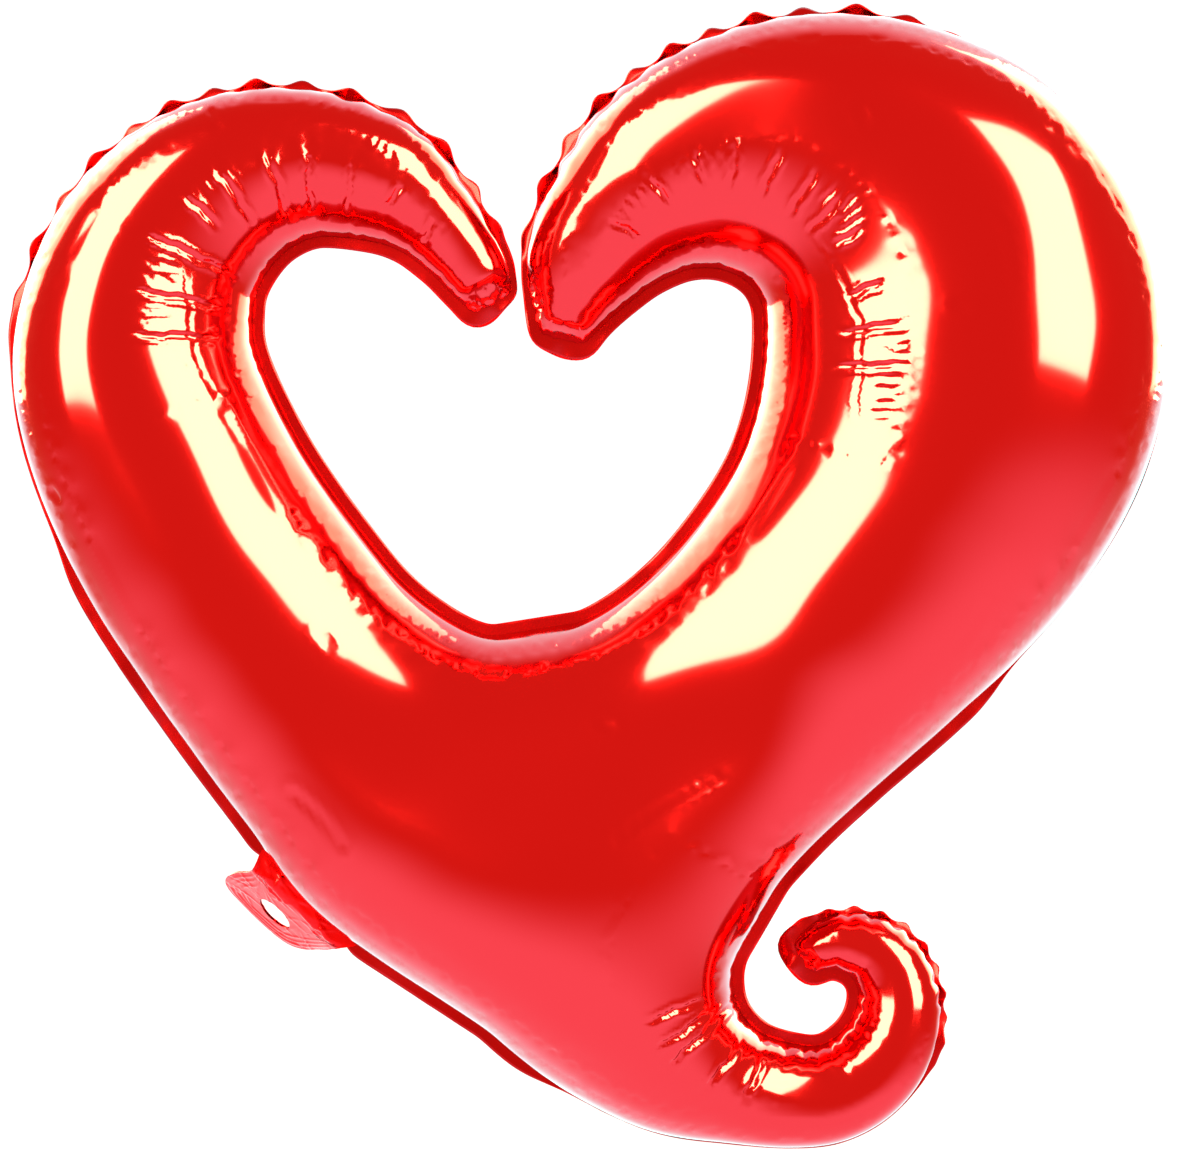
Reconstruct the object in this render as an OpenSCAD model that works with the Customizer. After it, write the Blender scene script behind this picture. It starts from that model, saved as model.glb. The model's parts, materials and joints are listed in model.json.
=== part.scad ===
// Hollow heart foil balloon with a curled tail, inflated.
// +Z is up, the front faces -Y, and the weld seam lies in a plane across Y.
// The origin is the middle of the tie hole, because a ribbon through that hole holds the balloon.

/* [Heart] */
// Width of the inflated heart, over the weld margin
heart_width = 404; // [300:2:600]
// Depth of the inflated tube as a share of its width
fullness = 1; // [0.8:0.02:1]

/* [Film] */
// Wall thickness of each foil panel
film = 0.6; // [0.4:0.1:1]
// How far the weld margin stands out of the inflated tube
margin_out = 3.5; // [2:0.5:6]
// How far the weld margin reaches in under the panels
margin_in = 1.5; // [1:0.5:3]

/* [Filling tab] */
// Width of the tab where it folds at the neck
neck_width = 34; // [28:1:36]
// Widest part of the tab
tab_width = 37; // [32:1:44]
// Length of the tab from the fold to its round end
tab_length = 37; // [34:1:50]
// Diameter of the punched tie hole
hole_d = 14; // [8:1:16]
// Distance of the tie hole from the fold
hole_reach = 20; // [18:1:22]
// How far the tab is folded back out of the seam plane
tab_fold = 64; // [0:4:80]

/* [Valve] */
// Width of the flat valve tube
valve_width = 24; // [18:1:26]
// Length of the valve inside the balloon
valve_length = 78; // [50:1:85]
// Thickness of each valve film
valve_film = 0.2; // [0.1:0.05:0.25]

/* [Hidden] */

foil_red = [0.78, 0.05, 0.06];
foil_back = [0.70, 0.05, 0.06];
clear_film = [0.92, 0.90, 0.92, 0.6];

// Centre line of the tube as rows of [x, z, radius], for a heart drawn 404 mm wide.
drawn_width = 404;

// From the tip of the left arm, over the left lobe and down into the body.
left_arm = [
    [168.5, 298, 8.2], [163.5, 307, 11.6], [157, 316, 13.4], [145, 329, 17], [129.5, 339, 22],
    [105, 344, 25.5], [83, 339.5, 29.6], [65.5, 328, 33.5], [52, 310, 37], [46, 289, 40.3],
    [46, 270, 42.4], [52.5, 248, 44], [66, 220, 45.2], [84, 192.5, 46], [105, 165, 47.2],
    [126, 143.5, 51], [146, 127, 57], [168, 117, 62.5], [195, 110, 70.5]
];
// From the body round the curled tail to its tip.
tail = [
    [195, 110, 70.5], [201, 90, 57.5], [208.5, 67, 45], [220.5, 47, 34.2], [234.5, 33, 26.8], [253, 24, 20.4],
    [272, 20, 18], [287, 20.5, 17], [299, 27, 16.5], [307.5, 37.5, 15.6], [311, 49, 14.6],
    [310, 60, 13.4], [305, 68, 12.3], [297, 72.5, 10.8], [287, 73, 8.8], [278.5, 68, 6.6]
];
// From the tip of the right arm, over the right lobe and down into the body.
right_arm = [
    [195, 287, 9], [198, 299, 15], [203, 312, 21.5], [213, 325, 26.2], [227, 337.5, 32],
    [241.5, 344.5, 36.6], [257.5, 348, 41.5], [275.5, 347.6, 47.1], [293.9, 342.5, 53.1], [310.2, 332.8, 59],
    [323.4, 319.2, 64.6], [331.8, 301.8, 68.6], [334.2, 280.4, 70.3], [331, 258.5, 69], [322, 236, 65],
    [308.5, 213.5, 60.4], [290, 190.5, 56.6], [266.5, 166.5, 53.8], [242, 145, 54.8], [217.5, 126, 60.5],
    [195, 110, 70.5]
];

sides = 20;      // corners of each ring

// A smooth curve through the rows, with the given number of steps from each row to the next.
function between(a, b, c, d, t) =
    (2 * b + (c - a) * t + (2 * a - 5 * b + 4 * c - d) * t * t + (3 * b - a - 3 * c + d) * t * t * t) / 2;
function smooth(rows, steps) = let (last = len(rows) - 1) [
    for (i = [0 : last - 1], k = [0 : steps - 1])
        between(rows[max(i - 1, 0)], rows[i], rows[i + 1], rows[min(i + 2, last)], k / steps),
    rows[last]
];

scale_up = heart_width / drawn_width;
drawn_tubes = [smooth(left_arm, 3), smooth(right_arm, 4), smooth(tail, 2)];

// The neck on the lower left edge, where the tab leaves the tube at an angle of tab_way from +X.
neck = [101.5, 91];
tab_way = 226;
fold_gap = 0.6;
fold_reach = margin_out + fold_gap;   // from the neck to the fold

// Every row is scaled about the neck, so the tab keeps its place on a heart of any width.
function placed(rows) =
    [for (p = rows) [(p[0] - neck[0]) * scale_up, (p[1] - neck[1]) * scale_up, p[2] * scale_up]];
left_rows = placed(drawn_tubes[0]);
right_rows = placed(drawn_tubes[1]);
tail_rows = placed(drawn_tubes[2]);
body_row = tail_rows[0];
body_swell = 1.2;   // how far the ball at the meeting of the tubes stands out of them
body_radius = body_row[2] + body_swell;

// The two points where the tube's edge touches ring i, left of the way of travel and right of it.
function flat(p) = [p[0], p[1]];
function edge_point(rows, i, side, inset) =
    let (a = rows[max(i - 1, 0)], b = rows[min(i + 1, len(rows) - 1)],
         way = flat(b) - flat(a), run = norm(way), t = way / run,
         grow = max(-0.95, min(0.95, (b[2] - a[2]) / run)),
         n = side * [-t[1], t[0]])
    flat(rows[i]) + (rows[i][2] - inset) * (sqrt(1 - grow * grow) * n - grow * t);

// A free end closes like a pillow: full width, with its depth falling to the seam over one radius.
function depth_share(rows, i, closed_start, closed_end) =
    let (from_start = norm(flat(rows[i]) - flat(rows[0])) / rows[i][2],
         from_end = norm(flat(rows[i]) - flat(rows[len(rows) - 1])) / rows[i][2],
         near = min(closed_start ? from_start : 1, closed_end ? from_end : 1, 1))
    max(0.12, sqrt(1 - pow(1 - near, 2)));

function ring(rows, i, inset, closed_start, closed_end) =
    let (l = edge_point(rows, i, 1, inset), r = edge_point(rows, i, -1, inset),
         mid = (l + r) / 2, half = (l - r) / 2,
         deep = norm(half) * fullness * depth_share(rows, i, closed_start, closed_end))
    [for (k = [0 : sides - 1])
        let (a = 360 * k / sides)
        [mid[0] + half[0] * cos(a), -deep * sin(a), mid[1] + half[1] * cos(a)]];

// One tube through all rings of its rows. The inner skin stops one ring short of a free end.
module tube(rows, inset, closed_start, closed_end) {
    first = inset > 0 && closed_start ? 1 : 0;
    last = len(rows) - 1 - (inset > 0 && closed_end ? 1 : 0);
    rings = last - first + 1;
    points = [for (i = [first : last]) each ring(rows, i, inset, closed_start, closed_end)];
    sides_of = [
        for (i = [0 : rings - 2], k = [0 : sides - 1])
            let (a = i * sides + k, b = i * sides + (k + 1) % sides)
            each [[a, a + sides, b], [b, a + sides, b + sides]]
    ];
    start_cap = [[for (k = [0 : sides - 1]) k]];
    end_cap = [[for (k = [sides - 1 : -1 : 0]) (rings - 1) * sides + k]];
    polyhedron(points, concat(start_cap, sides_of, end_cap), convexity = 10);
}

// Everything inside the balloon's skin, or inside its wall where inset is the wall's thickness.
module skin(inset = 0) {
    tube(left_rows, inset, true, false);
    tube(right_rows, inset, true, false);
    tube(tail_rows, inset, false, true);
    translate([body_row[0], 0, body_row[1]]) rotate([90, 0, 0]) scale([1, 1, fullness])
        sphere(body_radius - inset, $fn = 2 * sides);
}

// Half of the hollow skin, on the front side (-1) or the back side (1) of the weld.
// The resize has no effect on the size, and keeps the half skin in one closed piece.
module half_skin(side) {
    box = 2 * heart_width;
    resize([0, 0, 0]) difference() {
        skin();
        skin(film);
        translate([0, side * (film / 2 - box / 2), 0]) cube(box, center = true);
    }
}

// The tube's outline in the seam plane, as x and z.
module tube_outline(rows) {
    last = len(rows) - 1;
    polygon(concat(
        [for (i = [0 : last]) edge_point(rows, i, 1, 0)],
        [for (i = [last : -1 : 0]) edge_point(rows, i, -1, 0)]
    ));
}
module outline() {
    tube_outline(left_rows);
    tube_outline(right_rows);
    tube_outline(tail_rows);
    translate(flat(body_row)) circle(body_radius, $fn = 2 * sides);
}

// Raises a shape drawn in x and z into a plate that lies from y = low to y = high.
module plate(low, high) {
    translate([0, high, 0]) rotate([90, 0, 0]) linear_extrude(high - low) children();
}

// Draws in the neck's own axes: x along the fold, y out along the tab.
module at_neck() {
    rotate(tab_way - 90) children();
}

// Line between the two arm tips, where the margins of both arms are cut apart.
cleft_line = [[176, 336], [178.4, 313], [179.2, 299], [182, 280]];
cleft_cut = 1.6;
module cleft() {
    line = [for (p = cleft_line) (p - neck) * scale_up];
    for (i = [0 : len(line) - 2])
        hull() {
            translate(line[i]) circle(d = cleft_cut, $fn = 16);
            translate(line[i + 1]) circle(d = cleft_cut, $fn = 16);
        }
}

valve_clearance = 0.5;
valve_slot = 12;   // how far the seam is left open for the valve, either side of the edge
module weld_seam() {
    color(foil_red) plate(-film / 2, film / 2) difference() {
        offset(r = margin_out, $fn = 32) outline();
        offset(delta = -margin_in) outline();
        cleft();
        at_neck() translate([-valve_width / 2 - valve_clearance, -valve_slot])
            square([valve_width + 2 * valve_clearance, 2 * valve_slot]);
    }
}

module front_panel() {
    color(foil_red) half_skin(-1);
}

module back_panel() {
    color(foil_back) half_skin(1);
}

// Half of the flat valve tube: a strip with a cut-off inner end, in the neck's axes.
module valve_strip() {
    half = valve_width / 2;
    polygon([
        [-half, margin_out], [half, margin_out],
        [half, 6 - valve_length], [half - 6, -valve_length],
        [6 - half, -valve_length], [-half, 6 - valve_length]
    ]);
}

valve_gap = 0.05;   // air between the two films
module valve_front_film() {
    color(clear_film) plate(-valve_gap - valve_film, -valve_gap) at_neck() valve_strip();
}
module valve_back_film() {
    color(clear_film) plate(valve_gap, valve_gap + valve_film) at_neck() valve_strip();
}

// Outline of the tab, from the fold at y = 0 to its round end.
module tab_outline() {
    end_r = 15;
    hull() {
        translate([-neck_width / 2, 0]) square([neck_width, 1]);
        for (side = [-1, 1])
            translate([side * (tab_width / 2 - end_r), tab_length - end_r]) circle(end_r, $fn = 96);
    }
}

// The flat tab lies in its own x and y, with the fold along x. This folds it back and puts it at the neck.
module folded() {
    fold_at = fold_reach * [cos(tab_way), sin(tab_way)];
    translate([fold_at[0], 0, fold_at[1]])
        rotate([0, 90 - tab_way, 0]) rotate([90 - tab_fold, 0, 0]) children();
}

// Middle of the tie hole, measured from the neck.
hole_out = fold_reach + hole_reach * cos(tab_fold);
tie_hole = [hole_out * cos(tab_way), hole_reach * sin(tab_fold), hole_out * sin(tab_way)];
module home() {
    translate(-tie_hole) children();
}

tab_film = 0.3;
mouth_film = 0.2;
module tab_plate(low) {
    difference() {
        translate([0, 0, low]) linear_extrude(tab_film) tab_outline();
        translate([0, hole_reach, low - 1]) cylinder(d = hole_d, h = tab_film + 2, $fn = 96);
    }
}
module tab_front_film() {
    color(foil_red) folded() tab_plate(mouth_film / 2);
}
module tab_back_film() {
    color(foil_back) folded() tab_plate(-mouth_film / 2 - tab_film);
}

// The valve's mouth inside the tab. It ends in a hollow curve just short of the hole.
module valve_mouth() {
    color(clear_film) folded() difference() {
        translate([-valve_width / 2, 0.5, -mouth_film / 2])
            cube([valve_width, hole_reach - 2, mouth_film]);
        translate([0, hole_reach, -1]) cylinder(d = hole_d + 1, h = 2, $fn = 96);
    }
}

home() front_panel();
home() back_panel();
home() weld_seam();
home() valve_front_film();
home() valve_back_film();
home() tab_front_film();
home() tab_back_film();
home() valve_mouth();
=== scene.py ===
"""Hollow heart foil balloon with a curled tail, built around its rigid parts."""

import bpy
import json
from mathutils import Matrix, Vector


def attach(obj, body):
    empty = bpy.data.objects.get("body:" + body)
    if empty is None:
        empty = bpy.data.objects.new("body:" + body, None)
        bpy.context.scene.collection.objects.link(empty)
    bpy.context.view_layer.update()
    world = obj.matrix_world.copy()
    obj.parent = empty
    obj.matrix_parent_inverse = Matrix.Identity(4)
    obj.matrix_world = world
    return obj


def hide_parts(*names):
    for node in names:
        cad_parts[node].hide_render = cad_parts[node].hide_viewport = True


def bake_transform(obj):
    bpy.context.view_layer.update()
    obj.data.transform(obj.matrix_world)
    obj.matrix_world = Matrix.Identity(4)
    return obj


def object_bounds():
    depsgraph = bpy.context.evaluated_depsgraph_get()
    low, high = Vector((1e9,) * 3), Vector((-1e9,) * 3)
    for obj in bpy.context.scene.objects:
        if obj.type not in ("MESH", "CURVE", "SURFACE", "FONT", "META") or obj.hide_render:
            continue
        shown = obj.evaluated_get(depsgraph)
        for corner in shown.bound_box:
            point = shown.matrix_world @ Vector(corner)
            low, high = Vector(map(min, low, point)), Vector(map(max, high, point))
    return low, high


bl_info = {
    "name": "Hollow Heart Foil Balloon",
    "version": (1, 0, 0),
    "blender": (4, 5, 0),
    "location": "View3D > Sidebar > Balloon",
    "description": "Builds an inflated foil heart with puckered seams, a filling tab and a valve",
    "category": "Add Mesh",
}

import json
import math

import bpy
import numpy as np
from mathutils import Quaternion, Vector
from mathutils.geometry import delaunay_2d_cdt
from mathutils.kdtree import KDTree

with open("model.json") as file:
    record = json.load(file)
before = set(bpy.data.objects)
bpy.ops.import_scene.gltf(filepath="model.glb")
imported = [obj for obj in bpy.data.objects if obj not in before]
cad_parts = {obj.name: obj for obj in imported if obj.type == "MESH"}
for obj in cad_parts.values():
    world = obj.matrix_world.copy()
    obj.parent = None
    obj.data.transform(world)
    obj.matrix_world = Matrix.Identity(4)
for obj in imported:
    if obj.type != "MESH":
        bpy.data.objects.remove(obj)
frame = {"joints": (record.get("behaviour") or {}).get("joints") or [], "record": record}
CAD_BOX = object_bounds()

MM = 0.001
HINGE = next(j for j in frame["joints"] if j["name"] == "tab_fold")
# The weld seam lies in the plane across Y through the fold.
SEAM_Y = HINGE["pos_m"][1] / MM

# Centre line of the tube in the seam plane, as rows of x, z and radius in millimetres.
# Every row is measured from the corner below, which is placed by NECK and the tab's fold.
LEFT_ARM = [
    (168.5, 298, 8.2), (163.5, 307, 11.6), (157, 316, 13.4), (145, 329, 17), (129.5, 339, 22),
    (105, 344, 25.5), (83, 339.5, 29.6), (65.5, 328, 33.5), (52, 310, 37), (46, 289, 40.3),
    (46, 270, 42.4), (52.5, 248, 44), (66, 220, 45.2), (84, 192.5, 46), (105, 165, 47.2),
    (126, 143.5, 51), (146, 127, 57), (168, 117, 62.5), (195, 110, 70.5),
]
RIGHT_ARM = [
    (195, 287, 9), (198, 299, 15), (203, 312, 21.5), (213, 325, 26.2), (227, 337.5, 32),
    (241.5, 344.5, 36.6), (257.5, 348, 41.5), (275.5, 347.6, 47.1), (293.9, 342.5, 53.1),
    (310.2, 332.8, 59), (323.4, 319.2, 64.6), (331.8, 301.8, 68.6), (334.2, 280.4, 70.3),
    (331, 258.5, 69), (322, 236, 65), (308.5, 213.5, 60.4), (290, 190.5, 56.6),
    (266.5, 166.5, 53.8), (242, 145, 54.8), (217.5, 126, 60.5), (195, 110, 70.5),
]
TAIL = [
    (195, 110, 70.5), (201, 90, 57.5), (208.5, 67, 45), (220.5, 47, 34.2), (234.5, 33, 26.8),
    (253, 24, 20.4), (272, 20, 18), (287, 20.5, 17), (299, 27, 16.5), (307.5, 37.5, 15.6),
    (311, 49, 14.6), (310, 60, 13.4), (305, 68, 12.3), (297, 72.5, 10.8), (287, 73, 8.8),
    (278.5, 68, 6.6),
]
NECK = np.array([101.5, 91.0])
MARGIN_OUT = 3.5
FOLD_GAP = 0.6
AXIS = np.array([HINGE["axis"][0], HINGE["axis"][2]])
TAB_WAY = np.array([-AXIS[1], AXIS[0]])
FOLD_AT = np.array([HINGE["pos_m"][0], HINGE["pos_m"][2]]) / MM
MOUNT_AXIS = next(m for m in frame["record"]["mounts"] if m["name"] == "tie_hole")["axis"]
NECK_AT = FOLD_AT - TAB_WAY * (MARGIN_OUT + FOLD_GAP)


def in_frame(x, z):
    """A point of the drawing, as x and z of the frame in millimetres."""
    return np.array([x, z], float) - NECK + NECK_AT


def smooth_rows(rows, steps):
    """Rows of a Catmull-Rom curve through the given rows."""
    r = np.array(rows, float)
    last = len(r) - 1
    out = []
    for i in range(last):
        a, b, c, d = r[max(i - 1, 0)], r[i], r[i + 1], r[min(i + 2, last)]
        for k in range(steps):
            t = k / steps
            out.append(
                (2 * b + (c - a) * t + (2 * a - 5 * b + 4 * c - d) * t * t + (3 * b - a - 3 * c + d) * t**3) / 2
            )
    out.append(r[last])
    return np.array(out)


def tube_edges(rows, steps=6):
    """The left and right edge of the tube, in the way of travel."""
    r = smooth_rows(rows, steps)
    a = r[np.maximum(np.arange(len(r)) - 1, 0)]
    b = r[np.minimum(np.arange(len(r)) + 1, len(r) - 1)]
    way = b[:, :2] - a[:, :2]
    run = np.linalg.norm(way, axis=1)
    t = way / run[:, None]
    grow = np.clip((b[:, 2] - a[:, 2]) / run, -0.95, 0.95)
    n = np.c_[-t[:, 1], t[:, 0]]
    out = []
    for side in (1, -1):
        e = r[:, :2] + r[:, 2:] * (np.sqrt(1 - grow**2)[:, None] * side * n - grow[:, None] * t)
        out.append(e - NECK + NECK_AT)
    return out


def resample(loop, step):
    """Points of a closed loop at even steps along it."""
    closed = np.vstack([loop, loop[:1]])
    run = np.r_[0, np.cumsum(np.linalg.norm(np.diff(closed, axis=0), axis=1))]
    count = int(round(run[-1] / step))
    at = np.arange(count) * run[-1] / count
    return np.c_[np.interp(at, run, closed[:, 0]), np.interp(at, run, closed[:, 1])]


def soften(values, sigma):
    """Gaussian mean of a closed row of values, with sigma in samples."""
    n = len(values)
    f = np.fft.rfftfreq(n)
    w = np.exp(-2 * (math.pi * f * sigma) ** 2)
    v = values.reshape(n, -1)
    return np.fft.irfft(np.fft.rfft(v, axis=0) * w[:, None], n, axis=0).reshape(values.shape)


class Outline:
    """The closed outline of the balloon in the seam plane, walked with the film on the left."""

    STEP = 1.2

    def __init__(self):
        l_in, l_out = tube_edges(LEFT_ARM)
        r_out, r_in = tube_edges(RIGHT_ARM)
        t_in, t_out = tube_edges(TAIL)
        skip = 8
        loop = np.vstack([
            l_out[:-skip], t_out[skip:], t_in[skip:][::-1], r_out[:-skip][::-1], r_in[:-skip], l_in[:-skip][::-1],
        ])
        fine = resample(loop, 0.4)
        fine = soften(fine, 5.0)
        self.p = resample(fine, self.STEP)
        self.count = len(self.p)
        t = np.roll(self.p, -1, axis=0) - np.roll(self.p, 1, axis=0)
        t /= np.linalg.norm(t, axis=1)[:, None]
        t = soften(t, 1.5)
        self.t = t / np.linalg.norm(t, axis=1)[:, None]
        self.n = np.c_[-self.t[:, 1], self.t[:, 0]]
        turn = np.roll(self.t, -1, axis=0) - np.roll(self.t, 1, axis=0)
        self.bend = soften((turn * self.n).sum(1) / (2 * self.STEP), 4.0)
        self.tree = KDTree(self.count)
        for i, q in enumerate(self.p):
            self.tree.insert((q[0], q[1], 0), i)
        self.tree.balance()

    def nearest(self, x, z):
        return self.tree.find((x, z, 0))[1]

    def between(self, start, end):
        """Weight of each sample, 1 between the two points in the way of travel."""
        i, j = self.nearest(*start), self.nearest(*end)
        w = np.zeros(self.count)
        if i <= j:
            w[i:j] = 1
        else:
            w[i:] = 1
            w[:j] = 1
        return w


outline = Outline()


def distances(points):
    """Distance from each point to the outline, and the nearest sample."""
    d = np.empty(len(points))
    near = np.empty(len(points), int)
    for k, (x, z) in enumerate(points):
        _, near[k], d[k] = outline.tree.find((x, z, 0))
    # The foot of the perpendicular lies between two samples.
    q = points - outline.p[near]
    along = (q * outline.t[near]).sum(1)
    across = (q * outline.n[near]).sum(1)
    d = np.where(np.abs(along) < outline.STEP, np.abs(across), d)
    return d, near


def inside(points, loop):
    """True for each point within the closed loop."""
    x, z = points[:, 0], points[:, 1]
    hit = np.zeros(len(points), bool)
    for (x0, z0), (x1, z1) in zip(loop, np.roll(loop, -1, axis=0)):
        if z0 == z1:
            continue
        cross = (z0 > z) != (z1 > z)
        hit ^= cross & (x < (x1 - x0) * (z - z0) / (z1 - z0) + x0)
    return hit


# Stretches of the outline, as start and end in millimetres, walked with the film on the left.
OUTER_LEFT = ((79, 238), (-81, 213))
OUTER_RIGHT = ((230, 307), (91, 232))
CURL_OUTER = ((232, -42), (190, -4))
INNER_LEFT = ((-2, 186), (64, 214))
INNER_RIGHT = ((112, 202), (170, 168))
CURL_INNER = ((182, -22), (166, 18))
# From one pucker of the outer seams to the next.
LOBE_PITCH, CURL_PITCH = 16.5, 8.5
# Stretches where the margin is drawn in behind the tube.
HIDDEN_RIGHT = ((252, 82), (200, 312))
HIDDEN_LEFT = ((-84, 200), (-70, 124))
HIDDEN_FOOT = ((96, -54), (233, -50))


def lattice(spacing, low, high):
    """Rows of a triangular lattice over a box, with the integer place of each point."""
    rise = spacing * math.sqrt(3) / 2
    cols = int((high[0] - low[0]) / spacing) + 2
    rows = int((high[1] - low[1]) / rise) + 2
    j, i = np.mgrid[0:rows, 0:cols]
    i, j = i.ravel(), j.ravel()
    x = low[0] + (i + 0.5 * (j % 2)) * spacing
    z = low[1] + j * rise
    # Every second row, and every second point of it, is a lattice of twice the spacing.
    coarse = (j % 2 == 0) & ((i + (j // 2) % 2) % 2 == 0)
    return np.c_[x, z], coarse


def flat_mesh(spacing, fine_reach, depths, fine_parts):
    """Triangles over the balloon's outline: rows along the seam, then a lattice."""
    pts = [outline.p]
    for d in depths:
        row = outline.p + outline.n * d
        dist, _ = distances(row)
        pts.append(row[dist > 0.96 * d])
    low, high = outline.p.min(0), outline.p.max(0)
    grid, coarse = lattice(spacing, low, high)
    grid_in = inside(grid, outline.p[::2])
    grid, coarse = grid[grid_in], coarse[grid_in]
    dist, near = distances(grid)
    reach = depths[-1] + 0.6 * spacing
    reach_of = np.where(fine_parts[near] > 0.5, fine_reach[1], fine_reach[0])
    keep = (dist > reach) & ((dist < reach_of) | coarse)
    pts.append(grid[keep])
    flat = np.vstack(pts)
    n = outline.count
    edges = [(i, (i + 1) % n) for i in range(n)]
    verts, _, tris, *_ = delaunay_2d_cdt([Vector(p) for p in flat], edges, [], 0, 1e-7, False)
    v = np.array([(p.x, p.y) for p in verts])
    f = np.array([t for t in tris if len(t) == 3])
    mid = v[f].mean(1)
    f = f[inside(mid, outline.p)]
    used = np.unique(f)
    index = -np.ones(len(v), int)
    index[used] = np.arange(len(used))
    v, f = v[used], index[f]
    a, b, c = v[f[:, 0]], v[f[:, 1]], v[f[:, 2]]
    area = (b[:, 0] - a[:, 0]) * (c[:, 1] - a[:, 1]) - (b[:, 1] - a[:, 1]) * (c[:, 0] - a[:, 0])
    f[area < 0] = f[area < 0][:, ::-1]
    return v, f


def solve_inflation(v, f):
    """The pressed-out film: laplacian(u) = -2 with u = 0 on the seam, and depth = sqrt(u)."""
    a, b, c = v[f[:, 0]], v[f[:, 1]], v[f[:, 2]]
    area2 = (b[:, 0] - a[:, 0]) * (c[:, 1] - a[:, 1]) - (b[:, 1] - a[:, 1]) * (c[:, 0] - a[:, 0])
    rows, cols, vals = [], [], []
    for i in range(3):
        p, q, r = f[:, i], f[:, (i + 1) % 3], f[:, (i + 2) % 3]
        e1, e2 = v[q] - v[p], v[r] - v[p]
        cot = (e1 * e2).sum(1) / area2 / 2
        rows += [q, r]
        cols += [r, q]
        vals += [cot, cot]
    rows, cols, vals = np.concatenate(rows), np.concatenate(cols), np.concatenate(vals)
    load = np.bincount(f.ravel(), np.repeat(area2 / 6 * 2, 3), len(v))
    e = np.sort(np.concatenate([f[:, [0, 1]], f[:, [1, 2]], f[:, [2, 0]]]), axis=1)
    key, times = np.unique(e[:, 0] * len(v) + e[:, 1], return_counts=True)
    rim = np.zeros(len(v), bool)
    rim[(key[times == 1] // len(v))] = True
    rim[(key[times == 1] % len(v))] = True
    order = np.argsort(rows, kind="stable")
    rows, cols, vals = rows[order], cols[order], vals[order]
    start = np.searchsorted(rows, np.arange(len(v)))
    diag = np.add.reduceat(vals, start)
    free = (~rim).astype(float)

    def apply(x):
        return (diag * x - np.add.reduceat(vals * x[cols], start)) * free

    u = np.zeros(len(v))
    r = load * free
    scale = 1 / diag
    z = scale * r
    p = z.copy()
    rz = r @ z
    first = rz
    for _ in range(2500):
        ap = apply(p)
        step = rz / (p @ ap)
        u += step * p
        r -= step * ap
        z = scale * r
        new = r @ z
        if new < 1e-12 * first:
            break
        p = z + (new / rz) * p
        rz = new
    return np.maximum(u, 0), rim


def vertex_normals(p, f):
    n = np.cross(p[f[:, 1]] - p[f[:, 0]], p[f[:, 2]] - p[f[:, 0]])
    out = np.stack([np.bincount(f.ravel(), np.repeat(n[:, k], 3), len(p)) for k in range(3)], axis=1)
    return out / np.maximum(np.linalg.norm(out, axis=1), 1e-12)[:, None]


# Creases: each runs inwards from the seam, as a groove with a sharp bottom.

def spread(stretch, pitch, jitter, rng):
    """Samples of the outline along a stretch, about one pitch apart."""
    weight = outline.between(*stretch)
    where = np.flatnonzero(weight > 0.5)
    if where[0] == 0 and where[-1] == outline.count - 1:
        gap = np.flatnonzero(np.diff(where) > 1)
        where = np.r_[where[gap[0] + 1:], where[: gap[0] + 1]] if len(gap) else where
    length = len(where) * outline.STEP
    count = max(1, int(round(length / pitch)))
    at = (np.arange(count) + 0.5 + rng.uniform(-jitter, jitter, count)) / count
    return where[np.clip((at * len(where)).astype(int), 0, len(where) - 1)], at


def crease_rows(rng):
    """Each crease is origin, way, first and last reach up the film, width at each, and depth."""
    rows = []

    def add(i, turn, start, end, wide_start, wide_end, deep, lip=0.25):
        ca, sa = math.cos(turn), math.sin(turn)
        n = outline.n[i]
        way = np.array([n[0] * ca - n[1] * sa, n[0] * sa + n[1] * ca])
        rows.append((*outline.p[i], *way, start, end, wide_start, wide_end, deep, lip))

    # Pinches along the outer seams, where the flat edge is too long for the rounded tube.
    for stretch, pitch, deep in (
        (OUTER_LEFT, LOBE_PITCH, 0.8), (OUTER_RIGHT, LOBE_PITCH, 0.8), (CURL_OUTER, CURL_PITCH, 1.3),
    ):
        where, at = spread(stretch, pitch, 0.18, rng)
        for i, a in zip(where, at):
            end_fade = min(1, 5 * a + 0.3, 5 * (1 - a) + 0.3)
            reach = pitch * rng.uniform(0.9, 1.7) * end_fade
            add(i, rng.uniform(-0.12, 0.12), -2, reach, pitch * 0.12, pitch * 0.2, deep * end_fade, 0.5)
            if rng.random() < 0.6:
                j = (i + int(rng.integers(2, 6))) % outline.count
                add(j, rng.uniform(-0.3, 0.3), -1, reach * 0.5, 0.9, 1.2, 0.35 * end_fade)

    # Dense creases on the inner side of the curl, and short ones along the hole.
    for stretch, pitch, reach, deep in (
        (INNER_LEFT, 7.0, (9, 13), 0.5), (INNER_RIGHT, 7.0, (9, 13), 0.5), (CURL_INNER, 4.2, (8, 24), 1.0),
    ):
        where, at = spread(stretch, pitch, 0.3, rng)
        for i, a in zip(where, at):
            mid = math.sin(math.pi * min(max(a, 0.0), 1.0)) ** 0.5
            size = reach[0] + (reach[1] - reach[0]) * rng.uniform(0.35, 1) * mid
            turn = rng.uniform(-0.06, 0.06)
            add(i, turn, 1, size, 0.8, 1.2, deep * (0.45 + 0.55 * mid) * rng.uniform(0.7, 1.15))

    # Short pinches everywhere else along the seam, too small to see from far off.
    for i in range(0, outline.count, 7):
        k = int(i + rng.integers(0, 6)) % outline.count
        add(k, rng.uniform(-0.3, 0.3), -1, rng.uniform(4, 11), 0.8, 1.4, rng.uniform(0.05, 0.22))
    return rows


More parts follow.
